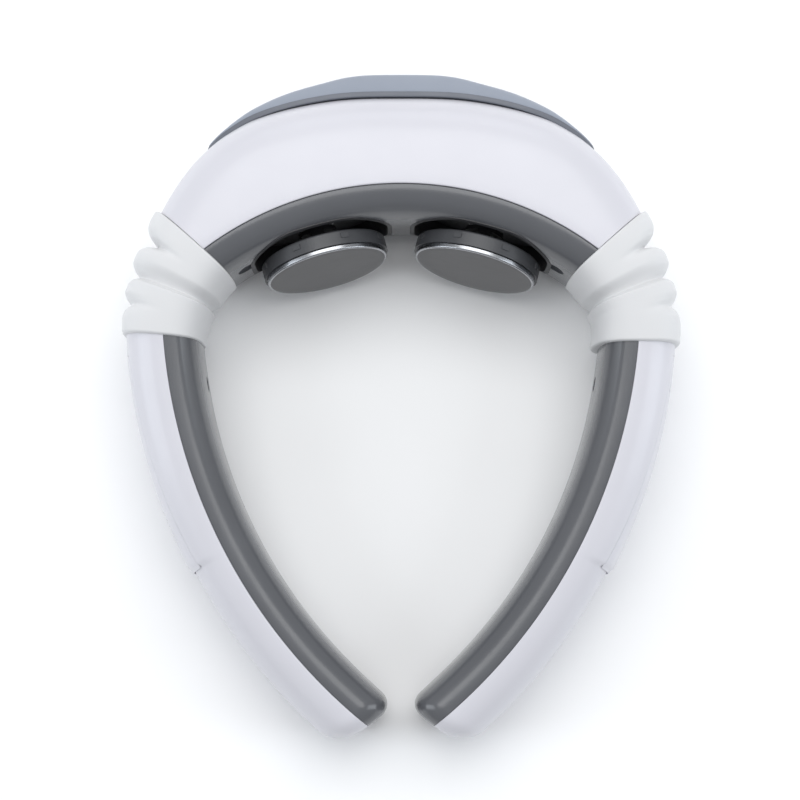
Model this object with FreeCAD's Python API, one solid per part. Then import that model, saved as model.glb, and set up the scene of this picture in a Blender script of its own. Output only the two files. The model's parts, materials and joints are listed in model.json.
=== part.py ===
"""U-shaped neck massager: a housing behind the neck, two arms, and a rubber bellows at each hinge.

Millimetres, +Z up, standing on its lower rim at z = 0. The neck goes through along Z, the housing
is at +Y and the arm tips at -Y. The right-hand side (+X) is drawn and the left is its mirror image.
"""
import FreeCAD, Part
import math
import os
from FreeCAD import Matrix, Placement, Vector

# ---------------------------------------------------------------- driving dimensions
LAYOUT_Y = 2.1          # moves the plan layout so that the frame's origin is under its middle
WALL = 2.0              # casing wall
SEAM_STEP = 0.25        # the lining stands this much lower than the casing along their seam
SEAM_GAP = 0.05         # and this far behind it
CORE_PAST_SEAM = 0.8    # how far a half's hollow is drawn past the seam
FLOOR_TRIM = 0.7        # how much of each casing's rounded underside is cut off flat

HOUSING_SEAM_R = 93.2   # the seam between casing and lining is an arc of this radius ...
HOUSING_SEAM_Y = -34.5  # ... centred here on the Y axis
HOUSING_END = 48.0      # degrees: the housing's end planes, either side of the middle
SEAM_TURN = 0.757       # the seam's own angle per degree of section plane
HOUSING_IN = 9.6        # lining depth, from the seam towards the neck
HOUSING_TOP = 48.0      # height in the middle
HOUSING_END_TOP = 45.0  # height at its two ends
HOUSING_OUT = ((0, 27.5), (12, 28.4), (24, 29.0), (36, 25.7), (48, 18.3))  # casing depth by plane

FAN_X, FAN_Y = 26.0, 14.3        # the bellows' section planes fan out from this point
FAN_TOP, FAN_LOW = 42.0, 4.0     # degrees: where the bellows meets the housing and the arm
FAN_SEAM_TOP, FAN_SEAM_LOW = 39.3, 41.1
LOW_SKEW, SKEW_END = 2.7, 16.0   # the lowest sections turn this many degrees more, about their inner side

ARM_X, ARM_Y, ARM_SEAM_R = -88.35, 28.4, 155.6   # centre and radius of the arm's seam
ARM_START, ARM_END = -4.05, -51.15                # degrees
ARM_OUT, ARM_IN = 10.8, 9.8
ARM_TOP, ARM_TIP_TOP = 41.0, 32.0
TIP_R_OUT, TIP_R_IN, TIP_R_TOP = 7.5, 5.5, 5.5   # the tip's roundings
TIP_TURN = 15.0                                  # degrees by which the end face leads the radius

ARM_STEP_AT, ARM_STEP = -27.6, 1.35  # above this angle the casing is thicker by this much
ARM_STEP_DROP = 0.12                 # and its top is this much higher
PANEL_FROM = -6.0                    # degrees: a flush panel from here down to the step
PANEL_LIFT, POCKET_LIFT = 0.35, 0.1  # its underside and its pocket's floor, above the thin casing
PANEL_LOW, PANEL_HIGH, PANEL_GAP = 6.0, 33.0, 0.25
WINDOW_FROM, WINDOW_TO, WINDOW_LOW, WINDOW_HIGH = -12.4, -26.4, 8.5, 30.5
ARM_SCREW_AT, ARM_SCREW_Z = -9.4, 22.0

CELL_R, CELL_L, CELL_AT, CELL_Z = 5.25, 44.0, -20.4, (13.6, 25.0)   # two AAA cells
BUTTONS = (("mode", -13.4, 4.6), ("plus", -18.6, 3.9), ("minus", -23.2, 3.9))
BUTTON_Z, BUTTON_TRAVEL, BUTTON_GAP = 19.5, 0.8, 0.25
BUTTON_TOP = ARM_OUT + ARM_STEP - 0.05
LENS_AT, LENS_Z, LENS_R = -8.8, 29.0, 1.25

BELLOWS_WALL, BELLOWS_LIFT = 1.6, 0.3
BELLOWS_TOP_HOUSING, BELLOWS_TOP_ARM = 46.0, 42.0
BELLOWS_OUT = ((4.2, 12.9), (4.8, 13.2), (10, 13.7), (11.6, 13.1), (13, 12.0), (14.6, 13.4), (16.2, 14.7),
               (19, 15.1), (21, 14.3), (22.3, 12.7), (23.6, 14.6), (25, 16.2), (29.2, 16.6), (31.2, 15.4),
               (33.1, 12.5), (35.2, 17.2), (36.6, 18.6), (41.3, 19.9), (41.88, 19.7))
GROOVE_AT, GROOVE_HALF, GROOVE_DEPTH = 22.3, 2.4, 1.5   # the one groove that runs all round
BELLOWS_IN = 10.4

HINGE_R, HINGE_ANGLE = 42.5, 23.0    # hinge axis, from the fan's point
PIN_R, BARREL_R, FIT = 1.5, 4.5, 0.05
EAR_LOW, EAR_HIGH, EAR_T = 9.0, 28.0, 3.0
BARREL_LOW, BARREL_HIGH = 12.3, 21.5

HEAD_X, HEAD_Y, HEAD_Z = 21.2, 37.7, 24.0   # centre of a head's rim
HEAD_TOE, HEAD_LEAN = 15.0, 9.0             # degrees: towards the middle, and upwards
CUP_R, PLATE_R = 18.2, 17.6
PIVOT = 7.0                                 # head pivot, this far behind the rim
STROKE = 4.0
OPENING_X, OPENING_Z, OPENING_CORNER = 19.7, 19.4, 13.0   # half sizes of the rounded openings
WELL_RIM = 1.2
STEM_R, SLEEVE_R, SLEEVE_BORE = 3.5, 7.8, 6.4

# ---------------------------------------------------------------- small helpers


def rad(a):
    return math.radians(a)


def along(table, x):
    """Straight-line value of a table of (position, value) at x."""
    for (x0, v0), (x1, v1) in zip(table, table[1:]):
        if x <= x1:
            return v0 + (v1 - v0) * (x - x0) / (x1 - x0)
    return table[-1][1]


def save(name, shape):
    shape = shape.copy()
    shape.translate(Vector(0, LAYOUT_Y, 0))
    solids = shape.Solids
    out = solids[0] if len(solids) == 1 else Part.makeCompound(solids)
    out.exportStep(f"parts/{name}.step")
    print(f"{name}: {len(solids)} solid(s), {sum(s.Volume for s in solids):.0f} mm3, valid {shape.isValid()}")


def mirrored(shape):
    return shape.mirror(Vector(0, 0, 0), Vector(1, 0, 0))


def save_pair(name, right):
    save("right_" + name, right)
    save("left_" + name, mirrored(right))


def frame(origin, x_axis, z_axis):
    """Placement whose local X and Z lie along the two given directions."""
    z = Vector(z_axis).normalize()
    x = Vector(x_axis).normalize()
    y = z.cross(x)
    m = Matrix(x.x, y.x, z.x, origin.x, x.y, y.y, z.y, origin.y, x.z, y.z, z.z, origin.z, 0, 0, 0, 1)
    return Placement(m)


def put(shape, placement):
    moved = shape.copy()
    moved.Placement = placement.multiply(moved.Placement)
    return moved


def rod(r, z0, z1, x=0.0, y=0.0):
    return Part.makeCylinder(r, z1 - z0, Vector(x, y, z0))


def tube(r, bore, z0, z1, x=0.0, y=0.0):
    return rod(r, z0, z1, x, y).cut(rod(bore, z0 - 1, z1 + 1, x, y))


def block(x0, x1, y0, y1, z0, z1):
    return Part.makeBox(x1 - x0, y1 - y0, z1 - z0, Vector(x0, y0, z0))


def fuse(*shapes):
    return shapes[0].multiFuse(list(shapes[1:])).removeSplitter()


def turned(points):
    """Solid of revolution about Z of an (r, z) outline. A point with a third value is an arc's middle."""
    edges = []
    pts = [Vector(p[0], 0, p[1]) for p in points]
    kinds = [len(p) > 2 for p in points]
    i = 0
    n = len(pts)
    while i < n:
        nxt = (i + 1) % n
        if kinds[nxt]:
            edges.append(Part.Arc(pts[i], pts[nxt], pts[(i + 2) % n]).toShape())
            i += 2
        else:
            edges.append(Part.LineSegment(pts[i], pts[nxt]).toShape())
            i += 1
    face = Part.Face(Part.Wire(edges))
    return face.revolve(Vector(0, 0, 0), Vector(0, 0, 1), 360)


def coil(radius, wire_r, height, turns):
    """Helical spring standing on z = 0, its ends at the wire's centre."""
    helix = Part.makeHelix(height / turns, height, radius)
    ring = Part.Wire(Part.makeCircle(wire_r, Vector(radius, 0, 0), Vector(0, 1, 0)))
    return Part.Wire(helix.Edges).makePipeShell([ring], True, True)


def pillow(grow, z0, z1):
    """Upright prism with the rounded-square outline of a head opening, grown by `grow`."""
    half_x, half_y = OPENING_X + grow, OPENING_Z + grow
    box = block(-half_x, half_x, -half_y, half_y, z0, z1)
    uprights = [e for e in box.Edges if abs(e.tangentAt(e.FirstParameter).z) > 0.9]
    return box.makeFillet(OPENING_CORNER + grow, uprights)


def screw(head_r, head_h, shank_r, length):
    """Pan-head screw with a cross recess, its head's underside at z = 0, shank towards -Z."""
    body = fuse(rod(head_r, 0, head_h), rod(shank_r, -length, 0))
    slot_w, slot_l, slot_d = 0.35 * head_r, 1.3 * head_r, 0.5 * head_h
    for w, l in ((slot_w, slot_l), (slot_l, slot_w)):
        body = body.cut(block(-w / 2, w / 2, -l / 2, l / 2, head_h - slot_d, head_h + 1))
    return body


# ---------------------------------------------------------------- sections and lofts


def section(x, y, angle, out, inn, top, bottom, half, square_out=0.80, square_in=0.80):
    """Closed wire across the casing at a plan point. angle is the outward direction, in degrees.

    half is "full", "out" (casing side of the seam) or "in" (lining side). "out_core" and "in_core"
    are the hollows cut from those two; they run a little past the seam.
    """
    ax, ay = math.cos(rad(angle)), math.sin(rad(angle))
    mid = (top + bottom) / 2
    seam_a = {"in": -SEAM_GAP, "out_core": -CORE_PAST_SEAM, "in_core": CORE_PAST_SEAM}.get(half, 0.0)

    def at(a, z):
        return Vector(x + ax * a, y + ay * a, z)

    def quarter(a, square, z):
        curve = Part.BezierCurve()
        curve.setPoles([at(seam_a, z), at(square * a, z), at(a, mid + square * (z - mid)), at(a, mid)])
        return curve.toShape()

    def quarter_back(a, square, z):
        curve = Part.BezierCurve()
        curve.setPoles([at(a, mid), at(a, mid + square * (z - mid)), at(square * a, z), at(seam_a, z)])
        return curve.toShape()

    if half == "full":
        edges = [quarter(out, square_out, top), quarter_back(out, square_out, bottom),
                 quarter(-inn, square_in, bottom), quarter_back(-inn, square_in, top)]
    elif half in ("out", "out_core"):
        edges = [quarter(out, square_out, top), quarter_back(out, square_out, bottom),
                 Part.LineSegment(at(seam_a, bottom), at(seam_a, top)).toShape()]
    else:
        edges = [quarter(-inn, square_in, bottom), quarter_back(-inn, square_in, top),
                 Part.LineSegment(at(seam_a, top), at(seam_a, bottom)).toShape()]
    return Part.Wire(edges)


def loft(wires):
    return Part.makeLoft(wires, True, False)


def housing_section(plane, half, inset=0.0, extra_out=0.0, drop=0.0):
    """Housing section on the plane turned by `plane` degrees from the middle, clockwise from above."""
    a = abs(plane)
    seam = rad(SEAM_TURN * plane)
    x = HOUSING_SEAM_R * math.sin(seam)
    y = HOUSING_SEAM_Y + HOUSING_SEAM_R * math.cos(seam)
    top = HOUSING_TOP + (HOUSING_END_TOP - HOUSING_TOP) * (a / HOUSING_END) ** 2
    out = along(HOUSING_OUT, min(a, HOUSING_END)) + extra_out
    return section(x, y, 90 - plane, out - inset, HOUSING_IN - inset, top - inset - drop,
                   -FLOOR_TRIM + inset, half, 0.86, 0.84)


def housing_loft(half, inset=0.0, reach=HOUSING_END, count=9, **extra):
    planes = [-reach + 2 * reach * i / (count - 1) for i in range(count)]
    return loft([housing_section(p, half, inset, **extra) for p in planes])


def arm_station(phi):
    """Plan point and outward direction of an arm section. phi runs from the bellows to the tip."""
    start_blend = max(0.0, 1 - (ARM_START - phi) / 9.0) ** 2
    tip_blend = max(0.0, (-43.0 - phi) / (-43.0 - ARM_END))
    x = ARM_X + ARM_SEAM_R * math.cos(rad(phi))
    y = ARM_Y + ARM_SEAM_R * math.sin(rad(phi))
    return x, y, phi + 10.9 * start_blend + TIP_TURN * tip_blend


def tip_round(radius, d):
    """How far a surface has drawn in at distance d from the tip, for a rounding of that radius."""
    return radius - math.sqrt(max(0.0, radius ** 2 - (radius - min(d, radius)) ** 2))


def arm_section(phi, half, inset=0.0, extra_out=0.0, drop=0.0, end=ARM_END):
    x, y, angle = arm_station(phi)
    d = rad(phi - end) * ARM_SEAM_R
    share = (ARM_START - phi) / (ARM_START - ARM_END)
    top = ARM_TOP + (ARM_TIP_TOP - ARM_TOP) * share - tip_round(TIP_R_TOP, d)
    return section(x, y, angle, ARM_OUT + extra_out - inset - tip_round(TIP_R_OUT, d),
                   ARM_IN - inset - tip_round(TIP_R_IN, d), top - inset - drop,
                   -FLOOR_TRIM + inset + tip_round(TIP_R_TOP, d) * 0.5, half, 0.72, 0.74)


def arm_planes(start, end):
    """Section angles: even along the arm, then closing up round the tip."""
    tip_deg = math.degrees(TIP_R_OUT / ARM_SEAM_R)
    straight = [start + (end + tip_deg - start) * i / 13 for i in range(14)]
    closing = [end + tip_deg * (1 - math.sin(rad(a))) for a in (20, 38, 54, 70)]
    return straight + closing


def arm_loft(half, inset=0.0, start=ARM_START, end=ARM_END, **extra):
    return loft([arm_section(p, half, inset, end=end, **extra) for p in arm_planes(start, end)])


above_floor = block(-200, 200, -200, 200, 0, 100)

# ---------------------------------------------------------------- places used by several pieces


def on_fan(radius, angle, z=0.0):
    return Vector(FAN_X + radius * math.cos(rad(angle)), FAN_Y + radius * math.sin(rad(angle)), z)


HINGE = on_fan(HINGE_R, HINGE_ANGLE)
INTO_HOUSING = Vector(-math.sin(rad(FAN_TOP)), math.cos(rad(FAN_TOP)), 0)
INTO_ARM = Vector(math.sin(rad(FAN_LOW)), -math.cos(rad(FAN_LOW)), 0)
bracket_frame = frame(HINGE, INTO_HOUSING, Vector(0, 0, 1))
knuckle_frame = frame(HINGE, INTO_ARM, Vector(0, 0, 1))

HEAD_BACK = Vector(math.sin(rad(HEAD_TOE)) * math.cos(rad(HEAD_LEAN)),
                   math.cos(rad(HEAD_TOE)) * math.cos(rad(HEAD_LEAN)), -math.sin(rad(HEAD_LEAN)))
HEAD_SIDE = Vector(math.cos(rad(HEAD_TOE)), -math.sin(rad(HEAD_TOE)), 0)
head_frame = frame(Vector(HEAD_X, HEAD_Y, HEAD_Z), HEAD_SIDE, HEAD_BACK)   # local Z runs backwards


def radial(phi, z):
    """Frame on the arm's seam: local Z points outwards, Y up, X along the arm to the bellows."""
    out = Vector(math.cos(rad(phi)), math.sin(rad(phi)), 0)
    origin = Vector(ARM_X + ARM_SEAM_R * out.x, ARM_Y + ARM_SEAM_R * out.y, z)
    return frame(origin, Vector(-out.y, out.x, 0), out)


def arm_wedge(phi_from, phi_to, low, high):
    """Sector of the arm between two angles and two heights."""
    span = abs(phi_to - phi_from)
    big = ARM_SEAM_R + 30
    sector = Part.makeCylinder(big, high - low, Vector(ARM_X, ARM_Y, low), Vector(0, 0, 1), span)
    sector.rotate(Vector(ARM_X, ARM_Y, 0), Vector(0, 0, 1), min(phi_from, phi_to))
    return sector


def arm_ring(phi_from, phi_to, low, high, a_from, a_to):
    """Part of such a sector, between two distances outwards from the seam."""
    centre = Vector(ARM_X, ARM_Y, low)
    inside = Part.makeCylinder(ARM_SEAM_R + a_from, high - low, centre)
    outside = Part.makeCylinder(ARM_SEAM_R + a_to, high - low, centre)
    return arm_wedge(phi_from, phi_to, low, high).common(outside).cut(inside)


# ---------------------------------------------------------------- housing

os.makedirs("parts", exist_ok=True)

housing_cavity = housing_loft("full", inset=WALL, reach=HOUSING_END + 3)
housing_bulk = housing_loft("full").common(above_floor)

# raised rear panel: a hollow bevelled band that thins out to both sides
TRIM_END = 33.0
TRIM_PROUD = ((0, 6.8), (5, 6.75), (8, 6.4), (13, 5.1), (18, 4.1), (22, 3.1), (27, 1.9), (33, 0.9))
TRIM_LIP, TRIM_SINK, TRIM_WALL = 0.7, 1.1, 1.8
TRIM_LOW, TRIM_HIGH, TRIM_BEVEL = 9.0, 38.0, 6.0


def trim_section(plane, hollow):
    seam = rad(SEAM_TURN * plane)
    x = HOUSING_SEAM_R * math.sin(seam)
    y = HOUSING_SEAM_Y + HOUSING_SEAM_R * math.cos(seam)
    ax, ay = math.sin(rad(plane)), math.cos(rad(plane))
    base = along(HOUSING_OUT, abs(plane))
    share = abs(plane) / TRIM_END
    proud = along(TRIM_PROUD, abs(plane))
    narrow = 7.0 * share ** 3
    lip = min(TRIM_LIP, 0.5 * proud)
    low, high = TRIM_LOW + narrow, TRIM_HIGH - narrow
    bevel = TRIM_BEVEL * proud / TRIM_PROUD[0][1]
    if hollow:
        low, high = low + TRIM_WALL, high - TRIM_WALL
        deep = max(base + proud - TRIM_WALL, base + lip - 1.0)
        outline = [(base - 5, low), (base + lip - 1.2, low), (deep, low + bevel),
                   (deep, high - bevel), (base + lip - 1.2, high), (base - 5, high)]
    else:
        outline = [(base - TRIM_SINK, low), (base + lip, low), (base + proud, low + bevel),
                   (base + proud, high - bevel), (base + lip, high), (base - TRIM_SINK, high)]
    points = [Vector(x + ax * a, y + ay * a, z) for a, z in outline]
    return Part.makePolygon(points + points[:1])


def trim_loft(hollow, reach):
    planes = [-reach + 2 * reach * i / 10 for i in range(11)]
    return loft([trim_section(p, hollow) for p in planes])


trim_block = trim_loft(False, TRIM_END)
trim_panel = trim_block.cut(trim_loft(True, TRIM_END - 9))
save("rear_trim_panel", trim_panel)

rear_shell = housing_loft("out").common(above_floor)
rear_shell = rear_shell.cut(housing_loft("out_core", inset=WALL, reach=HOUSING_END + 3)).cut(trim_block)

lining = housing_loft("in", drop=SEAM_STEP).common(above_floor)
lining = lining.cut(housing_loft("in_core", inset=WALL, reach=HOUSING_END + 3))

# wells: one dished guide behind each round opening, its sleeve carrying the head's stem
WELL_FLOOR, WELL_T = 16.5, 1.5
SLEEVE_END, SLEEVE_STOP = 31.0, 4.0
guide = fuse(pillow(WELL_RIM, -6, WELL_FLOOR + WELL_T).cut(pillow(0, -7, WELL_FLOOR)).cut(
                 rod(SLEEVE_BORE, WELL_FLOOR - 1, WELL_FLOOR + WELL_T + 1)),
             tube(SLEEVE_R, SLEEVE_BORE, WELL_FLOOR, SLEEVE_END),
             tube(SLEEVE_R, STEM_R + FIT, SLEEVE_END - SLEEVE_STOP, SLEEVE_END))
head_guide = put(guide, head_frame).common(housing_bulk)
well_hole = put(pillow(WELL_RIM, -12, WELL_FLOOR + WELL_T), head_frame)
lining = lining.cut(well_hole).cut(mirrored(well_hole))
# the two wells meet just behind the web between the openings, so each stops at the middle
head_guide = head_guide.common(block(0.15, 100, -100, 100, -10, 100)).cut(trim_block)
rear_shell = rear_shell.cut(head_guide).cut(mirrored(head_guide))
save_pair("head_guide", head_guide)

# bridge across the housing that holds the two sleeves
CARRIER_Y, CARRIER_T = 60.5, 3.0
carrier = block(-44, 44, CARRIER_Y, CARRIER_Y + CARRIER_T, 4, 42).common(housing_cavity)
sleeve_hole = put(rod(SLEEVE_R + 0.1, 0, 60), head_frame)
well_room = put(pillow(WELL_RIM + 0.1, -12, WELL_FLOOR + WELL_T + 0.1), head_frame)
carrier = carrier.cut(sleeve_hole).cut(mirrored(sleeve_hole)).cut(well_room).cut(mirrored(well_room))
CARRIER_SCREW_X, CARRIER_SCREW_Z = 4.0, (9.0, 37.0)
boss_places = [(sx * CARRIER_SCREW_X, z) for sx in (-1, 1) for z in CARRIER_SCREW_Z]
screws = []
for bx, bz in boss_places:
    at = frame(Vector(bx, CARRIER_Y, bz), Vector(1, 0, 0), Vector(0, -1, 0))
    carrier = carrier.cut(put(rod(1.2, -CARRIER_T - 1, 1), at))
    screws.append(put(screw(2.0, 1.4, 1.2, CARRIER_T + 5), at))
    # moulded post from the casing's rear wall to the bridge
    post = put(rod(3.0, -30, -CARRIER_T), at).common(housing_cavity).cut(trim_block)
    post = post.cut(put(rod(1.2, -CARRIER_T - 6, 0), at))
    rear_shell = rear_shell.fuse(post)
save("head_carrier", carrier)
save("carrier_screws", Part.makeCompound(screws))

# small round recess near each end of the lining
RECESS_R, RECESS_AT, RECESS_Z, RECESS_DEPTH = 3.2, 43.0, 30.0, 1.0
seam = rad(SEAM_TURN * RECESS_AT)
recess_dir = Vector(-math.sin(rad(RECESS_AT)), -math.cos(rad(RECESS_AT)), 0)
seam_x = HOUSING_SEAM_R * math.sin(seam)
seam_y = HOUSING_SEAM_Y + HOUSING_SEAM_R * math.cos(seam)
recess_frame = frame(Vector(seam_x, seam_y, RECESS_Z), Vector(0, 0, 1), recess_dir)
recess = put(rod(RECESS_R, HOUSING_IN - RECESS_DEPTH, HOUSING_IN + 5), recess_frame)
lining = lining.cut(recess).cut(mirrored(recess))

# hinge bracket in each end of the housing: a base in the cavity and two ears
SEAT_INSET = WALL + 0.3
housing_seat = housing_loft("full", inset=SEAT_INSET, reach=HOUSING_END + 3)
bracket_base = put(block(16, 22, -9, 9, 3, 42), bracket_frame).common(housing_seat)
bracket = bracket_base
for z in (EAR_LOW, EAR_HIGH):
    ear = fuse(block(0, 22, -4.5, 4.5, z, z + EAR_T), rod(4.5, z, z + EAR_T))
    bracket = bracket.fuse(put(ear, bracket_frame))
bracket = bracket.cut(put(rod(PIN_R, 0, 50), bracket_frame)).removeSplitter()
save_pair("hinge_bracket", bracket)
PIN_HEAD_R, PIN_HEAD_H = 2.6, 1.0
PIN_TOP = EAR_HIGH + EAR_T
pin = fuse(rod(PIN_R, EAR_LOW - 1.5, PIN_TOP), rod(PIN_HEAD_R, PIN_TOP, PIN_TOP + PIN_HEAD_H))
save_pair("hinge_pin", put(pin, bracket_frame))
SPRING_R, SPRING_WIRE = 2.9, 0.45
hinge_coil = coil(SPRING_R, SPRING_WIRE, EAR_HIGH - BARREL_HIGH - 1.6, 4)
hinge_coil.translate(Vector(0, 0, BARREL_HIGH + 0.8))
save_pair("hinge_spring", put(hinge_coil, bracket_frame))

save("rear_shell", rear_shell.removeSplitter())
save("inner_shell", lining)


# bellows: a closed sleeve of fanned sections, pleated on its outer side
def bellows_section(angle, inset):
    share = (angle - FAN_LOW) / (FAN_TOP - FAN_LOW)
    seam_r = FAN_SEAM_LOW + (FAN_SEAM_TOP - FAN_SEAM_LOW) * share
    place = on_fan(seam_r, angle)
    pinch = GROOVE_DEPTH * max(0.0, 1 - abs(angle - GROOVE_AT) / GROOVE_HALF)
    top = BELLOWS_TOP_ARM + (BELLOWS_TOP_HOUSING - BELLOWS_TOP_ARM) * share - pinch
    skew = LOW_SKEW * max(0.0, 1 - (angle - FAN_LOW) / (SKEW_END - FAN_LOW))
    lift = BELLOWS_IN * math.sin(rad(min(skew, LOW_SKEW)))
    place.x -= lift * math.sin(rad(angle))
    place.y += lift * math.cos(rad(angle))
    out = along(BELLOWS_OUT, angle) - inset
    return section(place.x, place.y, angle + skew, out, BELLOWS_IN - pinch - inset,
                   top - inset, BELLOWS_LIFT + 0.5 * pinch + inset, "full", 0.80, 0.78)


bellows_angles = [a for a, _ in BELLOWS_OUT]
bellows_skin = Part.makeLoft([bellows_section(a, 0) for a in bellows_angles], True, True)
inner_angles = [FAN_LOW - 1] + bellows_angles[1:-1] + [FAN_TOP + 1]
bellows_hollow = Part.makeLoft([bellows_section(a, BELLOWS_WALL) for a in inner_angles], True, True)
save_pair("bellows", bellows_skin.cut(bellows_hollow))

# ---------------------------------------------------------------- heads

NUT_X = 10.0
cup = turned([(0, 0.3), (16.6, 0.3), (16.6, 0.9), (CUP_R, 0.9), (CUP_R, 4.5), (17.6, 5.1), (16.3, 5.1),
              (16.0, 3.2), (0, 3.2)])
for i in range(8):
    tab = block(17.0, CUP_R + 0.3, -1.1, 1.1, 2.6, 4.0)
    tab.rotate(Vector(0, 0, 0), Vector(0, 0, 1), 45 * i + 22.5)
    cup = cup.fuse(tab)
LUG_IN, LUG_OUT, LUG_HALF, CROSS_R = 3.6, 5.4, 1.9, 1.0
for sx in (-1, 1):
    lug = block(LUG_IN, LUG_OUT, -LUG_HALF, LUG_HALF, 2.5, PIVOT + 1.9)
    if sx < 0:
        lug = mirrored(lug)
    cup = cup.fuse(lug)
    cup = cup.cut(rod(1.3, -1, 4, sx * NUT_X))
cross_bore = Part.makeCylinder(CROSS_R + FIT, 14, Vector(-7, 0, PIVOT), Vector(1, 0, 0))
cup = cup.cut(cross_bore).removeSplitter()
save_pair("head_cup", put(cup, head_frame))

plate = turned([(0, -0.9), (16.9, -0.5), (17.4, -0.2, "mid"), (PLATE_R, 0.3), (PLATE_R, 0.85), (16.7, 0.85),
                (16.7, 0.25), (0, 0.25)])
nuts = []
for sx in (-1, 1):
    plate = plate.fuse(rod(1.2, -0.5, 5.4, sx * NUT_X))
    hexagon = Part.makePolygon([Vector(sx * NUT_X + 2.3 * math.cos(rad(a)), 2.3 * math.sin(rad(a)), 3.25)
                                for a in range(0, 361, 60)])
    nuts.append(Part.Face(hexagon).extrude(Vector(0, 0, 1.6)).cut(rod(1.2, 3, 6, sx * NUT_X)))
save_pair("electrode_plate", put(plate, head_frame))
save_pair("electrode_nuts", put(Part.makeCompound(nuts), head_frame))

HUB_HALF = 1.7
cross = block(-HUB_HALF, HUB_HALF, -HUB_HALF, HUB_HALF, PIVOT - HUB_HALF, PIVOT + HUB_HALF)
cross = cross.fuse(Part.makeCylinder(CROSS_R, 10.4, Vector(-5.2, 0, PIVOT), Vector(1, 0, 0)))
cross = cross.fuse(Part.makeCylinder(CROSS_R, 10.4, Vector(0, -5.2, PIVOT), Vector(0, 1, 0)))
save_pair("head_cross", put(cross, head_frame))

STEM_BASE, STEM_BASE_T, STEM_END = 10.4, 1.2, 34.5
stem = rod(5.6, STEM_BASE, STEM_BASE + STEM_BASE_T).fuse(rod(STEM_R, STEM_BASE, STEM_END))
for sy in (-1, 1):
    prong = block(-LUG_HALF, LUG_HALF, LUG_IN, LUG_OUT, PIVOT - 1.9, STEM_BASE + 0.5)
    if sy < 0:
        prong = prong.mirror(Vector(0, 0, 0), Vector(0, 1, 0))
    stem = stem.fuse(prong)
stem = stem.cut(Part.makeCylinder(CROSS_R + FIT, 14, Vector(0, -7, PIVOT), Vector(0, 1, 0)))
CLIP_AT, CLIP_T, CLIP_GROOVE = SLEEVE_END + 0.05, 0.9, 2.9
stem = stem.cut(tube(STEM_R + 1, CLIP_GROOVE, CLIP_AT, CLIP_AT + CLIP_T)).removeSplitter()
save_pair("head_stem", put(stem, head_frame))
clip = tube(5.2, CLIP_GROOVE, CLIP_AT, CLIP_AT + CLIP_T).cut(block(-2, 2, 0, 8, 25, 40))
save_pair("stem_clip", put(clip, head_frame))
head_coil = coil(4.9, 0.5, SLEEVE_END - SLEEVE_STOP - STEM_BASE - STEM_BASE_T - 1.2, 5)
head_coil.translate(Vector(0, 0, STEM_BASE + STEM_BASE_T + 0.6))
save_pair("head_spring", put(head_coil, head_frame))

# ---------------------------------------------------------------- arms, drawn as the right one

hollow = {"inset": WALL, "start": ARM_START + 2, "end": ARM_END + 0.75}
arm_cavity = arm_loft("full", **hollow)
thick_planes = [ARM_START + (ARM_STEP_AT - ARM_START) * i / 7 for i in range(8)]
thick_part = loft([arm_section(p, "out", extra_out=ARM_STEP) for p in thick_planes])
thin_part = arm_loft("out", drop=ARM_STEP_DROP, start=ARM_STEP_AT)
arm_shell = thick_part.common(above_floor).fuse(thin_part.common(above_floor))
arm_shell = arm_shell.cut(arm_loft("out_core", **hollow))
pocket = arm_ring(PANEL_FROM, ARM_STEP_AT - 0.5, PANEL_LOW, PANEL_HIGH, 3, 30)
arm_shell = arm_shell.cut(pocket.cut(arm_loft("out", extra_out=POCKET_LIFT)))
arm_lining = arm_loft("in", drop=SEAM_STEP).common(above_floor).cut(arm_loft("in_core", **hollow))

# one screw near the hinge end, through a well in the lining into a post on the casing
screw_frame = radial(ARM_SCREW_AT, ARM_SCREW_Z)
HEAD_HOLE, POST_R, SCREW_SEAT = 2.2, 3.2, -4.5
lining_post = put(tube(POST_R, 1.2, -ARM_IN - 2, -0.2), screw_frame).common(arm_loft("full"))
arm_lining = arm_lining.fuse(lining_post).cut(put(rod(HEAD_HOLE, -ARM_IN - 3, SCREW_SEAT), screw_frame))
casing_post = put(tube(POST_R, 1.0, 0, ARM_OUT - 1), screw_frame)
arm_shell = arm_shell.fuse(casing_post)
screw_hole = put(rod(1.0, -1, 5.5), screw_frame)
arm_shell = arm_shell.cut(screw_hole)
arm_screw = screw(1.9, 1.3, 1.0, 9.0)
arm_screw.rotate(Vector(0, 0, 0), Vector(1, 0, 0), 180)
arm_screw.translate(Vector(0, 0, SCREW_SEAT))
save_pair("arm_screw", put(arm_screw, screw_frame))

arm_seat = arm_loft("full", inset=SEAT_INSET, start=ARM_START + 2, end=ARM_END + 0.75)
knuckle_base = put(block(15.5, 21.5, -9, 9, 3, 38), knuckle_frame).common(arm_seat)
knuckle = knuckle_base.fuse(put(block(0, 18, -3.2, 3.2, BARREL_LOW, BARREL_HIGH), knuckle_frame))
knuckle = knuckle.fuse(put(rod(BARREL_R, BARREL_LOW, BARREL_HIGH), knuckle_frame))
knuckle = knuckle.cut(put(rod(PIN_R + FIT, 0, 50), knuckle_frame)).removeSplitter()
save_pair("arm_knuckle", knuckle)

# flush panel on the outer face, down to the step; on the left arm it is the battery door
panel_skin = arm_loft("out", extra_out=ARM_STEP).cut(arm_loft("out", extra_out=PANEL_LIFT))
panel_low, panel_high = PANEL_LOW + PANEL_GAP, PANEL_HIGH - PANEL_GAP
panel = panel_skin.common(arm_wedge(PANEL_FROM - 0.1, ARM_STEP_AT, panel_low, panel_high))
panel = max(panel.Solids, key=lambda solid: solid.Volume)

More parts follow.
